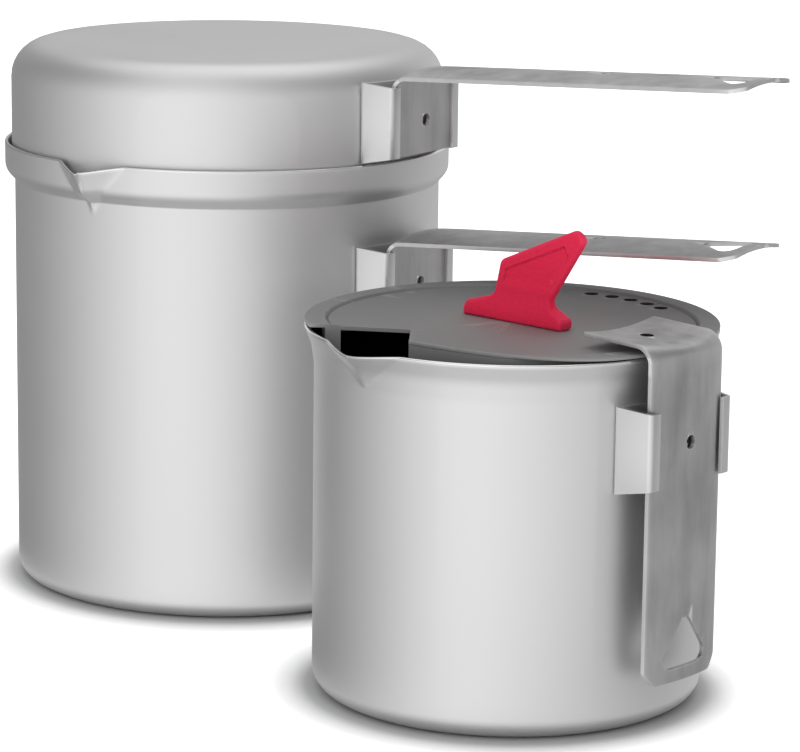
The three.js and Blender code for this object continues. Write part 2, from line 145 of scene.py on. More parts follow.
def subdivide(points, longest, low=-1e9, high=1e9):
    """Adds points along a profile wherever it crosses heights low to high."""
    out = [points[0]]
    for a, b in zip(points, points[1:]):
        inside = max(a[1], b[1]) > low and min(a[1], b[1]) < high
        parts = max(1, math.ceil(math.dist(a, b) / longest)) if inside else 1
        for k in range(1, parts + 1):
            f = k / parts
            out.append((a[0] + (b[0] - a[0]) * f, a[1] + (b[1] - a[1]) * f))
    return out


def direction(path, i):
    """The way a line of points runs at one of them."""
    return (Vector(path[min(i + 1, len(path) - 1)]) - Vector(path[max(i - 1, 0)])).normalized()


def build(name, verts, faces, materials, face_slots=None, sharp=CREASE):
    """A smooth-shaded mesh object from millimetre coordinates."""
    mesh = bpy.data.meshes.new(name)
    mesh.from_pydata([tuple(c / 1000 for c in v) for v in verts], [], faces)
    for m in materials:
        mesh.materials.append(m)
    if face_slots:
        mesh.polygons.foreach_set("material_index", face_slots)
    obj = bpy.data.objects.new(name, mesh)
    bpy.context.scene.collection.objects.link(obj)
    tidy(obj, sharp)
    return obj


def shade(obj, sharp):
    """Shades a mesh smooth, except over edges sharper than an angle in degrees."""
    obj.data.shade_smooth()
    obj.data.set_sharp_from_angle(angle=math.radians(sharp))


def tidy(obj, sharp=CREASE):
    """Merges doubled points, turns the faces outwards and shades the mesh smooth."""
    bm = bmesh.new()
    bm.from_mesh(obj.data)
    bmesh.ops.remove_doubles(bm, verts=bm.verts, dist=2e-7)
    bmesh.ops.recalc_face_normals(bm, faces=bm.faces)
    if bm.calc_volume(signed=True) < 0:
        bmesh.ops.reverse_faces(bm, faces=bm.faces)
    bm.to_mesh(obj.data)
    bm.free()
    shade(obj, sharp)


def place(obj, pot, azimuth):
    """Turns a piece made along +X to an azimuth on a pot, into its mesh."""
    turn = Matrix.Rotation(math.radians(azimuth), 4, "Z")
    shift = Matrix.Translation((pot["x"] / 1000, pot["y"] / 1000, 0))
    obj.data.transform(shift @ turn)


def finish_piece(obj, pot, azimuth, body, node=None):
    """Places a piece, hides the CAD node it stands for and attaches it to the body it rides on."""
    place(obj, pot, azimuth)
    if node:
        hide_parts(node)
    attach(obj, body)


def apply_modifiers(obj):
    """Replaces an object's mesh by the result of its modifiers."""
    graph = bpy.context.evaluated_depsgraph_get()
    mesh = bpy.data.meshes.new_from_object(obj.evaluated_get(graph))
    obj.modifiers.clear()
    obj.data = mesh


def combine(obj, others, operation):
    """Cuts other solids out of a piece, or joins them to it, and removes them."""
    for other in others:
        mod = obj.modifiers.new("combine", "BOOLEAN")
        mod.operation = operation
        mod.solver = "EXACT"
        mod.object = other
    apply_modifiers(obj)
    for other in others:
        bpy.data.objects.remove(other)


def soften(obj, width, segments=2):
    """Rounds the hard edges of a piece."""
    mod = obj.modifiers.new("soften", "BEVEL")
    mod.width = width / 1000
    mod.segments = segments
    mod.limit_method = "ANGLE"
    mod.angle_limit = math.radians(ROUNDED)
    apply_modifiers(obj)
    shade(obj, CREASE)


def weigh(obj):
    """Lets the large faces set the shading, so that long thin faces leave no streaks."""
    mod = obj.modifiers.new("weigh", "WEIGHTED_NORMAL")
    mod.keep_sharp = True
    apply_modifiers(obj)


def prism(name, outline, low, high):
    """A closed vertical prism over a plan outline."""
    n = len(outline)
    verts = [(x, y, low) for x, y in outline] + [(x, y, high) for x, y in outline]
    faces = [tuple(range(n)), tuple(range(n, 2 * n))]
    faces += [(i, (i + 1) % n, n + (i + 1) % n, n + i) for i in range(n)]
    return build(name, verts, faces, [])


def rectangle(half_x, half_y):
    """The outline of a rectangle round the origin."""
    return [(-half_x, -half_y), (half_x, -half_y), (half_x, half_y), (-half_x, half_y)]


def circle(radius, count=32, x=0, y=0):
    """The outline of a circle, as a polygon."""
    return [(x + radius * math.cos(2 * math.pi * i / count),
             y + radius * math.sin(2 * math.pi * i / count)) for i in range(count)]


def quarter(count, first=0):
    """Angles from 0 to a right angle in equal steps."""
    return [math.pi / 2 * k / count for k in range(first, count + 1)]


def sheet_faces(rows, columns):
    """Faces of a sheet made of two grids of points, an outer one and then an inner one."""
    wide = columns + 1
    size = rows * wide
    faces = []
    for i in range(rows - 1):
        for k in range(columns):
            a = i * wide + k
            quad = (a, a + 1, a + wide + 1, a + wide)
            faces += [quad, tuple(size + v for v in reversed(quad))]
        for k in (0, columns):
            a = i * wide + k
            faces.append((a, a + wide, size + a + wide, size + a))
    for k in range(columns):
        for i in (0, rows - 1):
            a = i * wide + k
            faces.append((a, a + 1, size + a + 1, size + a))
    return faces


def revolve(name, profile, angles, materials, slots=None, move=None, sharp=CREASE):
    """Turns a profile that starts and ends on the axis round Z. slots gives a material per row."""
    verts, faces, face_slots, ring = [], [], [], []
    n = len(angles)
    for r, z in profile:
        if r < 1e-6:
            ring.append([len(verts)] * n)
            verts.append((0, 0, z))
        else:
            ring.append(list(range(len(verts), len(verts) + n)))
            for a in angles:
                p = (r * math.cos(a), r * math.sin(a), z)
                verts.append(move(p) if move else p)
    for row in range(len(profile) - 1):
        for i in range(n):
            j = (i + 1) % n
            corners = [ring[row][i], ring[row][j], ring[row + 1][j], ring[row + 1][i]]
            face = tuple(dict.fromkeys(corners))
            if len(face) > 2:
                faces.append(face)
                face_slots.append(slots[row] if slots else 0)
    return build(name, verts, faces, materials, face_slots, sharp)


# ---------- materials ----------
class Nodes:
    """A Principled material with short names for the nodes it needs. Its base colour shows in the
    viewport, and wherever no node tints the surface."""

    def __init__(self, name, base, metallic, roughness=0.5):
        self.material = bpy.data.materials.new(name)
        self.material.use_nodes = True
        self.tree = self.material.node_tree
        self.shader = self.tree.nodes["Principled BSDF"]
        self.shader.inputs["Base Color"].default_value = (*base, 1)
        self.shader.inputs["Roughness"].default_value = roughness
        self.shader.inputs["Metallic"].default_value = metallic
        self.material.diffuse_color = (*base, 1)
        self.coords = self.tree.nodes.new("ShaderNodeTexCoord").outputs["Object"]

    def link(self, a, b):
        self.tree.links.new(a, b)

    def noise(self, scale, detail=3.0, stretch=(1, 1, 1), roughness=0.5):
        mapping = self.tree.nodes.new("ShaderNodeMapping")
        mapping.inputs["Scale"].default_value = stretch
        self.link(self.coords, mapping.inputs["Vector"])
        node = self.tree.nodes.new("ShaderNodeTexNoise")
        node.inputs["Scale"].default_value = scale
        node.inputs["Detail"].default_value = detail
        node.inputs["Roughness"].default_value = roughness
        self.link(mapping.outputs["Vector"], node.inputs["Vector"])
        return node.outputs["Fac"]

    def cells(self, scale):
        node = self.tree.nodes.new("ShaderNodeTexVoronoi")
        node.inputs["Scale"].default_value = scale
        self.link(self.coords, node.inputs["Vector"])
        return node.outputs["Distance"]

    def ramp(self, value, low, high, at=(0.0, 1.0)):
        node = self.tree.nodes.new("ShaderNodeMapRange")
        node.inputs["From Min"].default_value = at[0]
        node.inputs["From Max"].default_value = at[1]
        node.inputs["To Min"].default_value = low
        node.inputs["To Max"].default_value = high
        self.link(value, node.inputs["Value"])
        return node.outputs["Result"]

    def tint(self, value, dark, light):
        node = self.tree.nodes.new("ShaderNodeMix")
        node.data_type = "RGBA"
        for name, colour in (("A", dark), ("B", light)):
            if isinstance(colour, tuple):
                node.inputs[name].default_value = (*colour, 1)
            else:
                self.link(colour, node.inputs[name])
        self.link(value, node.inputs["Factor"])
        return node.outputs["Result"]

    def math(self, kind, a, b):
        node = self.tree.nodes.new("ShaderNodeMath")
        node.operation = kind
        for socket, value in zip(node.inputs, (a, b)):
            if isinstance(value, (int, float)):
                socket.default_value = value
            else:
                self.link(value, socket)
        return node.outputs["Value"]

    def edges(self):
        """Painted highlight on convex edges: the pointiness of the surface, cut to its convex edges.
        """
        geometry = self.tree.nodes.new("ShaderNodeNewGeometry")
        return self.ramp(geometry.outputs["Pointiness"], 0, 1, (0.505, 0.56))

    def hollows(self):
        """The inner corners of the surface, which the materials darken as painted shade."""
        geometry = self.tree.nodes.new("ShaderNodeNewGeometry")
        return self.ramp(geometry.outputs["Pointiness"], 0, 1, (0.49, 0.43))

    def bump(self, height, strength, distance):
        node = self.tree.nodes.new("ShaderNodeBump")
        node.inputs["Strength"].default_value = strength
        node.inputs["Distance"].default_value = distance / 1000
        self.link(height, node.inputs["Height"])
        self.link(node.outputs["Normal"], self.shader.inputs["Normal"])

    def set(self, **sockets):
        for name, value in sockets.items():
            socket = self.shader.inputs[name.replace("_", " ")]
            if isinstance(value, (int, float, tuple)):
                socket.default_value = value
            else:
                self.link(value, socket)
        return self


def blasted_aluminium():
    m = Nodes("blasted_aluminium", (0.77, 0.77, 0.775), 1.0)
    cloud = m.noise(28, 4)
    grain = m.noise(2600, 2)
    m.set(Base_Color=m.tint(cloud, (0.75, 0.75, 0.755), (0.79, 0.79, 0.795)),
          Roughness=m.ramp(cloud, 0.47, 0.53))
    m.bump(grain, 0.25, 0.05)
    return m.material


def cut_aluminium():
    m = Nodes("cut_aluminium_edge", (0.9, 0.9, 0.9), 1.0, 0.25)
    m.bump(m.noise(900, 2, stretch=(1, 1, 6)), 0.15, 0.03)
    return m.material


# The pots' dark inner lining, which is also put on hole walls in the lid and stored handle as painted
# shade.
def dark_lining_and_painted_shade():
    m = Nodes("dark_lining_and_painted_shade", (0.012, 0.012, 0.013), 0.0)
    speck = m.noise(1500, 1)
    m.set(Base_Color=m.tint(m.ramp(speck, 0, 1, (0.62, 0.75)), (0.010, 0.010, 0.011),
                            (0.06, 0.06, 0.06)), Roughness=m.ramp(speck, 0.42, 0.6))
    m.bump(m.noise(900, 3), 0.3, 0.05)
    return m.material


def bracket_aluminium():
    m = Nodes("bracket_aluminium", (0.65, 0.65, 0.65), 1.0)
    brush = m.noise(240, 4, stretch=(1, 1, 9))
    # Convex edges are painted lighter, as painted highlight.
    m.set(Base_Color=m.tint(m.edges(), (0.52, 0.52, 0.52), (0.76, 0.76, 0.76)),
          Roughness=m.ramp(brush, 0.36, 0.5))
    m.bump(brush, 0.2, 0.04)
    return m.material


def tumbled_steel():
    m = Nodes("tumbled_steel", (0.6, 0.595, 0.59), 1.0)
    cloud = m.noise(55, 4)
    streaks = m.noise(190, 4, stretch=(1, 1, 0.16), roughness=0.6)
    pits = m.noise(1900, 3)
    mottle = m.math("ADD", m.math("MULTIPLY", cloud, 0.5), m.math("MULTIPLY", streaks, 0.5))
    flat = m.tint(m.ramp(mottle, 0, 1, (0.36, 0.64)), (0.44, 0.432, 0.436), (0.65, 0.64, 0.642))
    # Convex edges are painted near white, as painted highlight.
    m.set(Base_Color=m.tint(m.edges(), flat, (0.92, 0.91, 0.91)),
          Roughness=m.ramp(mottle, 0.40, 0.56, (0.35, 0.65)))
    m.bump(m.math("ADD", pits, streaks), 0.2, 0.05)
    return m.material


def spring_steel():
    m = Nodes("spring_steel", (0.62, 0.615, 0.60), 1.0, 0.32)
    m.bump(m.noise(700, 3, stretch=(1, 1, 8)), 0.15, 0.02)
    return m.material


def rivet_aluminium():
    m = Nodes("rivet_aluminium", (0.78, 0.78, 0.78), 1.0, 0.38)
    m.bump(m.noise(1200, 2), 0.2, 0.03)
    return m.material


def lid_coating():
    m = Nodes("lid_coating", (0.28, 0.28, 0.282), 0.25)
    grain = m.noise(2200, 3)
    cloud = m.noise(20, 3)
    # Convex edges are painted lighter as painted highlight, and inner corners dark as painted shade.
    edge_highlight = m.math("MULTIPLY", m.edges(), 0.55)
    tone = m.math("ADD", m.math("MULTIPLY", cloud, 0.35), edge_highlight)
    flat = m.tint(tone, (0.245, 0.242, 0.243), (0.42, 0.415, 0.415))
    m.set(Base_Color=m.tint(m.hollows(), flat, (0.07, 0.069, 0.07)),
          Roughness=m.ramp(grain, 0.5, 0.68))
    m.bump(grain, 0.25, 0.05)
    return m.material


def red_silicone():
    m = Nodes("red_silicone", (0.95, 0.02, 0.09), 0.0)
    stipple = m.cells(1500)
    # Convex edges are painted a lighter red as painted highlight, and inner corners dark as painted
    # shade.
    colour = m.tint(m.edges(), (0.92, 0.018, 0.08), (0.96, 0.04, 0.12))
    m.set(Base_Color=m.tint(m.hollows(), colour, (0.30, 0.003, 0.012)),
          Roughness=m.ramp(stipple, 0.5, 0.7), Specular_IOR_Level=0.25)
    m.bump(stipple, 0.6, 0.16)
    return m.material


POT = blasted_aluminium()
EDGE = cut_aluminium()
LINING_AND_PAINTED_SHADE = dark_lining_and_painted_shade()
BRACKET_METAL = bracket_aluminium()
STEEL = tumbled_steel()
SPRING = spring_steel()
RIVET_METAL = rivet_aluminium()
LID_GREY = lid_coating()
SILICONE = red_silicone()


# ---------- pots and pan ----------
def crowded_angles(count, crowding):
    """Angles round a vessel that stand closer together near angle 0."""
    plain = [2 * math.pi * i / count - math.pi for i in range(count)]
    return [a - crowding * math.sin(a) if abs(abs(a) - math.pi) > 1e-9 else a for a in plain]


def spout_move(spout, rim_z, wall_radius):
    """The pressed V lip: a ridge that grows in width and reach towards the rim."""
    def move(p):
        x, y, z = p
        lift = clamp01((z - spout["bottom"]) / (rim_z - spout["bottom"]))
        if lift <= 0 or x < LIP_ZONE * wall_radius:
            return p
        side = abs(y) * wall_radius / math.hypot(x, y)
        half = spout["half"] * (spout["spread"] if y > 0 else 1.0)
        valley = spout["valley"][y > 0]
        u = side / (half * max(lift, LIP_NARROWEST))
        rounded = 1 - (math.hypot(u, spout["ridge"]) - spout["ridge"])
        rounded = 0.5 * (rounded + math.hypot(rounded, valley) - valley)
        push = spout["reach"] * lift * max(0.0, rounded)
        return (x + push, y, z - spout["drop"] * push / spout["reach"] * lift)
    return move


def shell_profile(outer, rim_top, wall):
    """Closes an outer skin of (r, z) with a rounded rim and an inner skin one wall inside."""
    inner = []
    for i, (r, z) in enumerate(outer):
        step = direction(outer, i)
        inner.append((max(0.0, r - wall * step.y), z + wall * step.x))
    edge = wall / 2
    end = outer[-1]
    rim = []
    for k in range(1, 6):
        a = math.pi * k / 6
        rim.append((end[0] - edge + edge * math.cos(a), rim_top - edge + edge * math.sin(a)))
    return outer, rim, inner[::-1]


def vessel(name, side, outline, radii, rim_top, spout, node, body, bare_from=1e9, flip=None):
    """A drawn pot or pan: blasted outside, bright cut rim, dark lining inside up to bare_from."""
    wall_radius = outline[-1][0]
    skin = fillet(outline, radii, 8)
    if spout:
        skin = subdivide(skin, 0.9, spout["bottom"] - 1, rim_top + 1)
    outer, rim, inner = shell_profile(skin, rim_top, WALL)
    profile = outer + rim + inner
    profile[0] = (0.0, profile[0][1])
    profile[-1] = (0.0, profile[-1][1])
    slots = [0] * (len(outer) - 1) + [1] * (len(rim) + 1)
    slots += [0 if z > bare_from else 2 for r, z in inner[1:]]
    if flip is not None:
        profile = [(r, flip - z) for r, z in profile]
    move = spout_move(spout, rim_top, wall_radius) if spout else None
    angles = crowded_angles(360, CROWDING if spout else 0.0)
    obj = revolve(name, profile, angles, [POT, EDGE, LINING_AND_PAINTED_SHADE], slots, move, SOFT_CREASE)
    finish_piece(obj, side, spout["az"] if spout else 0, body, node)
    return obj


r, c, h = LARGE["radius"], LARGE["collar"], LARGE["height"]
large_shell = vessel(
    "large_pot_shell", LARGE,
    [(0, 0), (r, 0), (r, 108.4), (c, 111.2), (c, h - WALL / 2)],
    [0, 4.4, 0.8, 3.8, 0], h, LARGE_SPOUT, "large_pot_body", "large_pot", bare_from=109.0)

r, depth = PAN["radius"], PAN["top"] - PAN["rim"]
vessel(
    "pan_shell", PAN, [(0, 0), (r, 0), (r, depth - WALL / 2)], [0, 9.5, 0],
    depth, None, "pan_body", "pan", flip=PAN["top"])

r, e, h = SMALL["radius"], SMALL["rim"], SMALL["height"]
small_shell = vessel(
    "small_pot_shell", SMALL,
    [(0, 0), (r, 0), (r, 80.5), (r + 0.7, 85.4), (e, h - WALL / 2)],
    [0, 5.2, 14, 12, 0], h, SMALL_SPOUT, "small_pot_body", "small_pot")


# ---------- brackets ----------
def bracket(name, side, node, body):
    """Folded sheet channel: arc base on the wall, two wings, two lips over the strip."""
    radius = side["radius"]
    inset = SHEET / 2
    fold = radius + STANDOFF + BRACKET["gap"]
    root, lip = BRACKET["root"], BRACKET["lip"]
    middle = radius + SEAT + inset
    half = root - inset
    steps = 12
    arc = [(math.sqrt(middle ** 2 - y * y), y)
           for y in [half * k / steps for k in range(-steps, steps + 1)]]
    side_y = BRACKET["fold"] - inset
    wing_x = fold - inset
    lip_x = wing_x + BRACKET["flare"]
    line = [(lip_x, -lip), (wing_x, -side_y), *arc, (wing_x, side_y), (lip_x, lip)]
    radii = [0, 0.8, 0.75] + [0] * (len(arc) - 2) + [0.75, 0.8, 0]
    path = [Vector(p) for p in fillet(line, radii, 5)]
    left, right = [], []
    for i, p in enumerate(path):
        step = direction(path, i)
        normal = Vector((-step.y, step.x)) * inset
        left.append(p + normal)
        right.append(p - normal)
    root_x = math.sqrt(radius ** 2 - root ** 2)
    low = side["bracket"] - BRACKET["height"] / 2
    high = low + BRACKET["height"]

    def heights(p):
        f = clamp01((p.x - root_x) / (fold + 1 - root_x))
        return low + BRACKET["low"] * f, high - BRACKET["high"] * f

    verts = []
    for p in left + right:
        z0, z1 = heights(p)
        verts += [(p.x, p.y, z0), (p.x, p.y, z1)]
    n = len(path)
    faces = []
    for i in range(n - 1):
        a, b = 2 * i, 2 * (i + 1)
        c1, d1 = a + 2 * n, b + 2 * n
        faces += [(a, b, b + 1, a + 1), (c1, c1 + 1, d1 + 1, d1),
                  (a, c1, d1, b), (a + 1, b + 1, d1 + 1, c1 + 1)]
    for i in (0, n - 1):
        a, c1 = 2 * i, 2 * i + 2 * n
        faces.append((a, a + 1, c1 + 1, c1))
    obj = build(name, verts, faces, [BRACKET_METAL])
    soften(obj, SOFTEN["bracket"])
    finish_piece(obj, side, side["az"], body, node)


# ---------- rivets and detent springs ----------
def rivet(name, side, turn, dz, grip, body):
    """A domed rivet through the wall and the bracket, turned round the pot and raised by dz."""
    seat = side["radius"] + SEAT + SHEET + SEAT + grip
    tail = math.sqrt((side["radius"] - WALL) ** 2 - RIVET["tail"] ** 2) - RIVET["tail_gap"]
    head, shank, t = RIVET["head"], RIVET["shank"], RIVET["tail"]
    dome = [(head * math.cos(a), seat + RIVET["height"] * math.sin(a))
            for a in quarter(8, 1)[:-1]]
    profile = [(0, tail - RIVET["tail_height"]), (t, tail - RIVET["tail_height"]), (t, tail),
               (shank, tail), (shank, seat), (head, seat), *dome, (0, seat + RIVET["height"])]
    profile = fillet(profile, [0, 0.25, 0.12, 0, 0, 0.12] + [0] * 8, 4)
    angles = [2 * math.pi * i / 40 for i in range(40)]
    obj = revolve(name, profile, angles, [RIVET_METAL])
    obj.data.transform(Matrix.Translation((0, 0, (side["bracket"] + dz) / 1000))
                       @ Matrix.Rotation(math.pi / 2, 4, "Y"))
    obj.data.transform(Matrix.Rotation(turn, 4, "Z"))
    finish_piece(obj, side, side["az"], body, name)


def detent_spring(name, side, body):
    """A bent leaf with a pressed dome, as a thin sheet that follows a curved line."""
    foot = side["radius"] + SEAT + SHEET + LEAF["play"] + LEAF["thick"] / 2
    crest = (side["radius"] + STANDOFF - STRIP["thick"] - LEAF["gap"] - LEAF["height"]
             + LEAF["thick"] / 2)
    line = [(foot, LEAF["foot"]), (foot, LEAF["heel"]), (crest, LEAF["knee"]),
            (crest, LEAF["crest"]), (crest - LEAF["tuck"], LEAF["tip"])]
    path = fillet(line, [0, 0.8, 0.8, 0.8, 0], 5)
    path = [Vector(p) for p in subdivide(path, 0.3)]
    columns = 20
    corner = LEAF["corner"]
    verts = []
    for layer in (1, -1):
        for i, p in enumerate(path):
            step = direction(path, i)
            normal = Vector((step.y, -step.x))
            end = min(math.dist(p, path[0]), math.dist(p, path[-1]))
            narrow = corner - math.sqrt(max(0.0, corner ** 2 - max(0.0, corner - end) ** 2))
            for k in range(columns + 1):
                y = (2 * k / columns - 1) * (LEAF["half"] - narrow)
                d = math.hypot(y, p.y)
                bump = max(0.0, 1 - (d / LEAF["dome"]) ** 2)
                lift = (LEAF["height"] - LEAF["thick"] * 0.6) * bump if abs(p.y) < 2.5 else 0.0
                x = p.x + normal.x * layer * LEAF["thick"] / 2
                z = p.y + normal.y * layer * LEAF["thick"] / 2
                verts.append((x + lift, y, z + side["bracket"]))
    obj = build(name, verts, sheet_faces(len(path), columns), [SPRING], sharp=SOFT_CREASE)
    hole = prism("hole", circle(RIVET["shank"] + 0.3, 28), -5, 5)
    hole.data.transform(Matrix.Translation((foot / 1000, 0, (side["bracket"] + RIVET["low"]) / 1000))
                        @ Matrix.Rotation(math.pi / 2, 4, "Y"))
    combine(obj, [hole], "DIFFERENCE")
    tidy(obj, 45)
    finish_piece(obj, side, side["az"], body, name)


# ---------- handles ----------
def handle(name, long_leg, dish_radius, long_hole, rise):
    """A strip bent to an L with a flipped dish at the bend, two detent holes and a window.
    The corner stands at x = 0, z = 0, the long leg runs down and the short leg towards -X."""
    half, thick, bend, tight = STRIP["half"], STRIP["thick"], STRIP["bend"], STRIP["tight"]
    chamfer, corner = STRIP["chamfer"], STRIP["corner"]
    along = Vector((-math.cos(rise), math.sin(rise)))
    turn = math.pi / 2 - rise
    tangent = math.tan(turn / 2)
    slant = [(0.0, chamfer), (0.15, chamfer - 0.45), (0.5, chamfer - 1.0), (chamfer - 0.6, 0.4),
             (chamfer + 0.1, 0.08), (chamfer + 0.7, 0.0)]
    rounded = [(corner * (1 - math.cos(a)), corner * (1 - math.sin(a))) for a in quarter(5)]
    long_steps, bend_steps, short_steps, columns = 30, 10, 8, 28
    start = slant[-1][0]
    stop = long_leg - bend - STRIP["run"]
    long_rows = slant + [(start + (stop - start) * k / long_steps, 0.0)
                         for k in range(1, long_steps + 1)]
    start = bend + STRIP["run"]
    stop = SHORT_LEG - corner
    short_rows = [(start + (stop - start) * k / short_steps, 0.0) for k in range(short_steps)]
    short_rows += [(SHORT_LEG - end, inset) for end, inset in reversed(rounded)]
    rows = [("long", v, inset) for v, inset in long_rows]
    rows += [("bend", k / bend_steps, 0.0) for k in range(1, bend_steps)]
    rows += [("short", v, inset) for v, inset in short_rows]

    def sag(t):
        return dish_radius - math.sqrt(dish_radius ** 2 - t * t)

    def bend_radius(t):
        return tight + (bend - tight) * (t / half) ** 2

    def point(kind, value, t, depth):
        s = sag(t)
        if kind == "long":
            return (-s - depth, t, value - long_leg)
        if kind == "short":
            z = DISH * s + along.y * (value - s) - depth * math.cos(rise)
            return (along.x * value - depth * math.sin(rise), t, z)
        radius = bend_radius(t) - depth
        centre_x = -s - depth - radius
        centre_z = DISH * s - depth * tangent - radius * tangent
        a = turn * value
        return (centre_x + radius * math.cos(a), t, centre_z + radius * math.sin(a))

    verts = []
    for depth in (0.0, thick):
        for kind, value, inset in rows:
            wide = half - inset
            verts += [point(kind, value, wide * (2 * k / columns - 1), depth)
                      for k in range(columns + 1)]
    obj = build(name, verts, sheet_faces(len(rows), columns), [STEEL])
    base, apex = TRIANGLE["base"] - long_leg, TRIANGLE["apex"] - long_leg
    window = fillet([(-TRIANGLE["half"], base), (TRIANGLE["half"], base), (0, apex)],
                    [TRIANGLE["corner"]] * 3, 8, closed=True)
    triangle = prism("window", [(y, -z) for y, z in window], -9, 6)
    to_side = Matrix(((0, 0, 1, 0), (1, 0, 0, 0), (0, -1, 0, 0), (0, 0, 0, 1)))
    triangle.data.transform(to_side)
    long_bit = prism("bit", circle(HOLE_RADIUS, 36), -9, 6)
    long_bit.data.transform(Matrix.Translation((0, 0, -long_hole / 1000)) @ to_side)
    short_bit = prism("bit", circle(HOLE_RADIUS, 36, x=-HOLE_SHORT), -6, 6)
    cutters = [triangle, long_bit, short_bit]
    for cutter in cutters:
        tidy(cutter)
    combine(obj, cutters, "DIFFERENCE")
    tidy(obj)
    soften(obj, SOFTEN["handle"], 3)
    return obj


def paint_bore_shade(obj):
    """Paints the wall of the short leg's hole dark as painted shade, since it lies in the lid's shade
    while the handle is stored.
    """
    obj.data.materials.append(LINING_AND_PAINTED_SHADE)
    for face in obj.data.polygons:
        x, y, _ = face.center * 1000
        is_wall = abs(face.normal.z) < 0.8
        if is_wall and math.hypot(x + HOLE_SHORT, y) < HOLE_RADIUS + BORE_EDGE:
            face.material_index = 1


def handle_in_use(name, side, node, body, rise):
    """A handle whose short leg stands in its bracket and whose long leg reaches out."""
    outer = side["radius"] + STANDOFF
    obj = handle(name, LONG_LARGE, outer, HOLE_LONG_LARGE, rise)
    obj.data.transform(
        Matrix.Translation(((outer - STRIP["thick"]) / 1000, 0, (side["bracket"] + HOLE_SHORT) / 1000))
        @ Matrix.Rotation(-(math.pi / 2 + rise), 4, "Y"))
    finish_piece(obj, side, side["az"], body, node)


SIDES = [("large_pot", LARGE, "large_pot", "large_spring"), ("pan", PAN, "pan", "pan_spring"),
         ("small_pot", SMALL, "small_pot", "small_spring")]
for prefix, side, body, spring_body in SIDES:
    bracket(f"{prefix}_channel", side, f"{prefix}_bracket", body)
    turn = RIVET["side"] / side["radius"]
    rivet(f"{prefix}_rivet_spring", side, 0, RIVET["low"],
          LEAF["thick"] + 2 * LEAF["play"] - SEAT, body)
    rivet(f"{prefix}_rivet_left", side, -turn, RIVET["high"], 0, body)
    rivet(f"{prefix}_rivet_right", side, turn, RIVET["high"], 0, body)
    detent_spring(f"{prefix}_detent_spring", side, spring_body)

handle_in_use("large_pot_strip", LARGE, "large_pot_handle", "large_handle", RISE)
handle_in_use("pan_strip", PAN, "pan_handle", "pan_handle_strip", PAN_RISE)
small_outer = SMALL["radius"] + STANDOFF
small_strip = handle("small_pot_strip", LONG_SMALL, small_outer, HOLE_LONG_SMALL, STORED_RISE)
paint_bore_shade(small_strip)
small_strip.data.transform(Matrix.Translation((small_outer / 1000, 0, SMALL_HANDLE_TOP / 1000)))
finish_piece(small_strip, SMALL, SMALL["az"], "small_handle", "small_pot_handle")


# ---------- small lid ----------
def drain_pull(az):
    """How far the lid's edge has run in towards the notch at an azimuth, 0 to 1."""
    inside = DRAIN["low"] < az < DRAIN["high"]
    return smooth((DRAIN["high"] - az) / DRAIN["run"]) if inside else 0.0


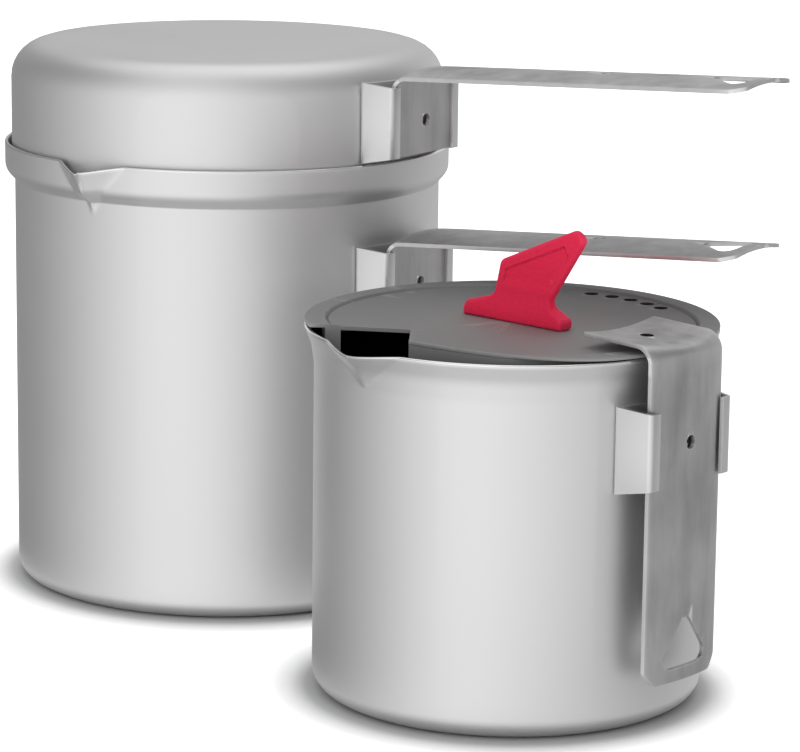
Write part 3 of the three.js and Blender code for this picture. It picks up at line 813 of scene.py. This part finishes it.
def lid_plate():
    """The pressed lid, with its drain gap, notch, slot, vents and slight warp."""
    top, sheet, drop = LID["top"], LID["sheet"], LID["drop"]
    floor = top - drop
    count = 360
    rings = []
    for i in range(count):
        az = -180 + 360 * i / count
        flange = LID["flange"] - DRAIN["depth"] * drain_pull(az)
        skirt = min(LID["step"], flange - 0.25)
        under = top - sheet
        low = under - LID["skirt"] + 0.3
        inner = skirt - 0.8
        flat = [(f * (skirt - 1.8), floor)
                for f in (0.0, 0.2, 0.35, 0.5, 0.62, 0.74, 0.84, 0.93, 1.0)]
        step = fillet([(skirt - 1.7, floor), (skirt - 1.25, floor - 0.55), (skirt - 0.7, top),
                       (flange, top), (flange, under), (skirt, under), (skirt, low), (inner, low),
                       (inner, floor - sheet), (inner - 1, floor - sheet)],
                      [0, 0.15, 0.25, 0.32, 0.32, 0.15, 0.3, 0.3, 0.5, 0], 4)
        back = [(f * (inner - 1.2), floor - sheet) for f in (1.0, 0.8, 0.6, 0.4, 0.2, 0.0)]
        rings.append((math.radians(az), flat + step + back))
    rows = len(rings[0][1])
    verts, faces = [], []
    for angle, ring in rings:
        for radius, z in ring[1:-1]:
            verts.append((radius * math.cos(angle), radius * math.sin(angle), z))
    stride = rows - 2
    first, last = len(verts), len(verts) + 1
    verts += [(0, 0, floor), (0, 0, floor - sheet)]
    for i in range(count):
        a, b = i * stride, ((i + 1) % count) * stride
        faces.append((first, a, b))
        faces += [(a + k, b + k, b + k + 1, a + k + 1) for k in range(stride - 1)]
        faces.append((a + stride - 1, b + stride - 1, last))
    obj = build("small_lid_pressing", verts, faces, [LID_GREY, LINING_AND_PAINTED_SHADE])
    flap = prism("flap", FLAP, top - LID["skirt"] - 0.6, top - 0.2)
    combine(obj, [flap], "UNION")
    notch = prism("notch", fillet(NOTCH, [NOTCH_CORNER, 0, 0, 0], 8, closed=True), top - 20, top + 10)
    slot = prism("slot", rectangle(GRIP["slot"], GRIP["slot_half"]), top - 6, top + 6)
    slot.data.transform(Matrix.Rotation(math.radians(GRIP_AZ), 4, "Z"))
    combine(obj, [notch, slot], "DIFFERENCE")
    tidy(obj)
    soften(obj, SOFTEN["lid"])
    angles = [math.radians(VENTS["first"] + VENTS["step"] * k) for k in range(VENTS["count"])]
    spots = [(VENTS["ring"] * math.cos(a), VENTS["ring"] * math.sin(a)) for a in angles]
    vents = [prism("vent", circle(VENTS["hole"], 32, x, y), top - 6, top + 6) for x, y in spots]
    combine(obj, vents, "DIFFERENCE")
    # The vents' walls take the dark lining as painted shade.
    for face in obj.data.polygons:
        centre = face.center * 1000
        if any(math.dist(centre.xy, spot) < VENTS["hole"] + 0.02 for spot in spots):
            face.material_index = 1
    weigh(obj)
    for v in obj.data.vertices:
        az = math.degrees(math.atan2(v.co.y, v.co.x))
        out = smooth((math.hypot(v.co.x, v.co.y) * 1000 - WARP_START) / WARP_RUN)
        for warp in WARPS:
            turn = abs((az - warp["az"] + 180) % 360 - 180)
            v.co.z += warp["height"] / 1000 * out * smooth(1 - turn / warp["reach"])
    finish_piece(obj, SMALL, 0, "small_lid", "small_lid_plate")


def edge_distance(p, outline):
    """Distance from a point to a closed outline."""
    best = 1e9
    for a, b in zip(outline, outline[1:] + outline[:1]):
        near, part = intersect_point_line(p, a, b)
        near = a if part < 0 else b if part > 1 else near
        best = min(best, math.dist(p, near[:2]))
    return best


def is_inside(p, outline):
    """Counts how many edges of a closed outline a level ray from the point meets."""
    odd = False
    for a, b in zip(outline, outline[1:] + outline[:1]):
        if (a[1] > p[1]) != (b[1] > p[1]):
            odd ^= p[0] < a[0] + (b[0] - a[0]) * (p[1] - a[1]) / (b[1] - a[1])
    return odd


def beyond(p, a, b):
    """Signed distance of a point to the right of the line from a to b."""
    line = (Vector(b) - Vector(a)).normalized()
    return (p[0] - a[0]) * line.y - (p[1] - a[1]) * line.x


def lid_grip():
    """Silicone fin: thick foot, thin blade with a raised border, lugs under the lid."""
    outline = fillet(FIN, FIN_ROUNDING, 6, closed=True)
    outline = subdivide(outline + outline[:1], 0.5)[:-1]
    n = len(outline)
    base = LID["top"] - LID["drop"] + SEAT

    def half_width(p, edge):
        width = GRIP["foot"] + (GRIP["blade"] - GRIP["foot"]) * smooth((p[1] - 1.0) / 6.5)
        lost = max(0.0, GRIP["round"] - edge)
        width -= GRIP["round"] - math.sqrt(GRIP["round"] ** 2 - lost ** 2)
        depth = min(beyond(p, a, b) for a, b in zip(PANEL, PANEL[1:]))
        to_back = beyond(p, FIN[5], FIN[6])
        fade = smooth((p[1] - 8.0) / 3.0) * smooth(abs(to_back) / 2.5)
        return width - GRIP["recess"] * smooth(depth / 0.3) * fade

    points = list(outline)
    for inset in (0.1, 0.25, 0.45, 0.8):
        for i, p in enumerate(outline):
            run = Vector(outline[(i + 1) % n]) - Vector(outline[i - 1])
            q = Vector(p) + Vector((run.y, -run.x)).normalized() * inset
            if is_inside(q, outline) and edge_distance(q, outline) > 0.93 * inset:
                points.append(tuple(q))
    panel = fillet(PANEL, PANEL_ROUNDING, 4)
    for inset in (0.0, 0.25):
        line = subdivide([(x + inset * 0.9, z - inset * 0.9) for x, z in panel], 0.4)
        points += [q for q in line if is_inside(q, outline) and edge_distance(q, outline) > 0.9]
    step = 0.3
    for i in range(int(38 / step)):
        for k in range(int(25 / step)):
            q = (-14.4 + step * (i + 0.5 * (k % 2)), step * k)
            if is_inside(q, outline) and edge_distance(q, outline) > 1.0:
                points.append(q)
    ring = [(i, (i + 1) % n) for i in range(n)]
    flat, _, tris, _, _, _ = delaunay_2d_cdt([Vector(p) for p in points], ring, [], 1, 1e-5)
    widths = [half_width(p, edge_distance(p, outline)) for p in flat]
    count = len(flat)
    verts = [(p.x, side * w, p.y + base) for side in (-1, 1) for p, w in zip(flat, widths)]
    faces = [tuple(t) for t in tris] + [tuple(count + v for v in reversed(t)) for t in tris]
    uses = {}
    for t in tris:
        for a, b in zip(t, (*t[1:], t[0])):
            uses.setdefault(tuple(sorted((a, b))), []).append((a, b))
    border = [pair[0] for pair in uses.values() if len(pair) == 1]
    faces += [(b, a, count + a, count + b) for a, b in border]
    obj = build("small_lid_fin", verts, faces, [SILICONE], sharp=70)
    finish_piece(obj, SMALL, GRIP_AZ, "small_lid", "small_lid_grip")

    under = LID["top"] - LID["drop"] - LID["sheet"] - SEAT
    neck_half, lug_half = GRIP["neck_half"], GRIP["lug_half"]
    neck = prism("small_lid_grip_neck", rectangle(GRIP["neck"], neck_half), under - 1.0, base + 0.5)
    lug = prism("lug", rectangle(GRIP["lug"], lug_half), under - 2.2, under)
    combine(neck, [lug], "UNION")
    neck.data.materials.clear()
    neck.data.materials.append(SILICONE)
    tidy(neck)
    soften(neck, SOFTEN["neck"])
    finish_piece(neck, SMALL, GRIP_AZ, "small_lid")


lid_plate()
lid_grip()


# ---------- floor, light and camera ----------
FLOOR = dict(front=2.0, back=1.6, height=1.6, bend=0.5, half_width=3.0, glow=0.7)
# The painted contact shadow fades out between these distances from a pot's wall, in metres, and the
# painted dark patch of shade below the pot between the next two.
SHADOW = dict(start=0.0015, end=0.013)
PATCH = dict(start=-0.004, end=0.006)
# The strength of the dim room all round.
ROOM = 0.21
# azimuth, elevation and reach in degrees, then strength
SOFT_BOXES = [
    (-165, -12, 50, 0.27),
    (-135, -12, 50, 0.36),
    (-105, -12, 50, 0.53),
    (-75, -12, 50, 0.17),
    (-40, -12, 50, 0.40),
    (-90, -65, 55, 0.22),
    (-135, 38, 42, 0.28),
    (-105, 38, 42, 0.42),
    (-70, 38, 42, 0.17),
    (45, -12, 50, 0.38),
    (75, 35, 50, 0.30)]
TOP_LIGHT = dict(at=(0.0, 0.15, 1.1), target=(0.03, -0.05, 0.07), size=(1.2, 1.0), power=3.2)
CAMERA = dict(lens=159.94, sensor=36, near=0.05, at=(0.04716, -0.94903, 0.25526), tilt=78.004,
              roll=0.69)


def area(name, at, target, size, power):
    """A rectangular light that faces a point."""
    light = bpy.data.lights.new(name, "AREA")
    light.shape = "RECTANGLE"
    light.size, light.size_y = size
    light.energy = power
    obj = bpy.data.objects.new(name, light)
    obj.location = at
    obj.rotation_euler = (Vector(target) - Vector(at)).to_track_quat("-Z", "Y").to_euler()
    bpy.context.scene.collection.objects.link(obj)


def floor():
    """A pale floor that sweeps up behind the set."""
    back, bend = FLOOR["back"], FLOOR["bend"]
    line = [(-FLOOR["front"], 0.0), (back - bend, 0.0)]
    line += [(back - bend + bend * math.sin(a), bend - bend * math.cos(a)) for a in quarter(24, 1)]
    line.append((back, FLOOR["height"]))
    verts = [(side * FLOOR["half_width"], y, z) for y, z in line for side in (-1, 1)]
    faces = [(2 * i, 2 * i + 1, 2 * i + 3, 2 * i + 2) for i in range(len(line) - 1)]
    m = Nodes("pale_floor", (0.9, 0.9, 0.9), 0.0, 0.8)
    m.set(Emission_Color=(1, 1, 1, 1))
    clear = m.tree.nodes.new("ShaderNodeBsdfTransparent")
    path = m.tree.nodes.new("ShaderNodeLightPath")
    mix = m.tree.nodes.new("ShaderNodeMixShader")
    away, open_floor = None, None
    for pot, shell in ((LARGE, large_shell), (SMALL, small_shell)):
        gap = m.tree.nodes.new("ShaderNodeVectorMath")
        gap.operation = "DISTANCE"
        gap.inputs[1].default_value = (pot["x"] / 1000, pot["y"] / 1000, 0)
        where = m.tree.nodes.new("ShaderNodeTexCoord")
        where.object = shell
        m.link(where.outputs["Object"], gap.inputs[0])
        edge = pot["radius"] / 1000
        far = gap.outputs["Value"]
        clear_of = m.ramp(far, 0, 1, (edge + SHADOW["start"], edge + SHADOW["end"]))
        beside = m.ramp(far, 0, 1, (edge + PATCH["start"], edge + PATCH["end"]))
        away = m.math("MINIMUM", away, clear_of) if away else clear_of
        open_floor = m.math("MINIMUM", open_floor, beside) if open_floor else beside
    # The glow fades near each pot and the colour darkens under it: a painted contact shadow.
    m.set(Emission_Strength=m.math("MULTIPLY", away, FLOOR["glow"]),
          Base_Color=m.tint(open_floor, (0.4, 0.4, 0.4), (0.9, 0.9, 0.9)))
    m.link(m.math("MULTIPLY", path.outputs["Is Glossy Ray"], away), mix.inputs["Fac"])
    m.link(m.shader.outputs["BSDF"], mix.inputs[1])
    m.link(clear.outputs["BSDF"], mix.inputs[2])
    m.link(mix.outputs["Shader"], m.tree.nodes["Material Output"].inputs["Surface"])
    mesh = bpy.data.meshes.new("floor")
    mesh.from_pydata(verts, [], faces)
    mesh.materials.append(m.material)
    mesh.shade_smooth()
    obj = bpy.data.objects.new("floor", mesh)
    bpy.context.scene.collection.objects.link(obj)


def studio_world():
    """A dim room with soft boxes, each a smooth patch of sky round a direction."""
    world = bpy.data.worlds.new("studio")
    world.use_nodes = True
    tree = world.node_tree
    coords = tree.nodes.new("ShaderNodeTexCoord").outputs["Generated"]
    total = None
    for azimuth, elevation, reach, strength in SOFT_BOXES:
        az, el = math.radians(azimuth), math.radians(elevation)
        dot = tree.nodes.new("ShaderNodeVectorMath")
        dot.operation = "DOT_PRODUCT"
        dot.inputs[1].default_value = (math.cos(az) * math.cos(el), math.sin(az) * math.cos(el),
                                       math.sin(el))
        tree.links.new(coords, dot.inputs[0])
        patch = tree.nodes.new("ShaderNodeMapRange")
        patch.interpolation_type = "SMOOTHSTEP"
        patch.inputs["From Min"].default_value = math.cos(math.radians(reach))
        patch.inputs["To Max"].default_value = strength
        tree.links.new(dot.outputs["Value"], patch.inputs["Value"])
        add = tree.nodes.new("ShaderNodeMath")
        add.operation = "ADD"
        add.inputs[0].default_value = ROOM
        if total:
            tree.links.new(total, add.inputs[0])
        tree.links.new(patch.outputs["Result"], add.inputs[1])
        total = add.outputs["Value"]
    tree.links.new(total, tree.nodes["Background"].inputs["Strength"])
    tree.nodes["Background"].inputs["Color"].default_value = (1, 1, 1, 1)
    bpy.context.scene.world = world


floor()
studio_world()
bpy.context.scene.view_settings.view_transform = "Standard"

area("top", **TOP_LIGHT)

camera_data = bpy.data.cameras.new("camera")
camera_data.lens = CAMERA["lens"]
camera_data.sensor_width = CAMERA["sensor"]
camera_data.clip_start = CAMERA["near"]
camera = bpy.data.objects.new("camera", camera_data)
camera.matrix_world = (Matrix.Translation(CAMERA["at"])
                       @ Matrix.Rotation(math.radians(CAMERA["tilt"]), 4, "X")
                       @ Matrix.Rotation(math.radians(CAMERA["roll"]), 4, "Z"))
bpy.context.scene.collection.objects.link(camera)
bpy.context.scene.camera = camera
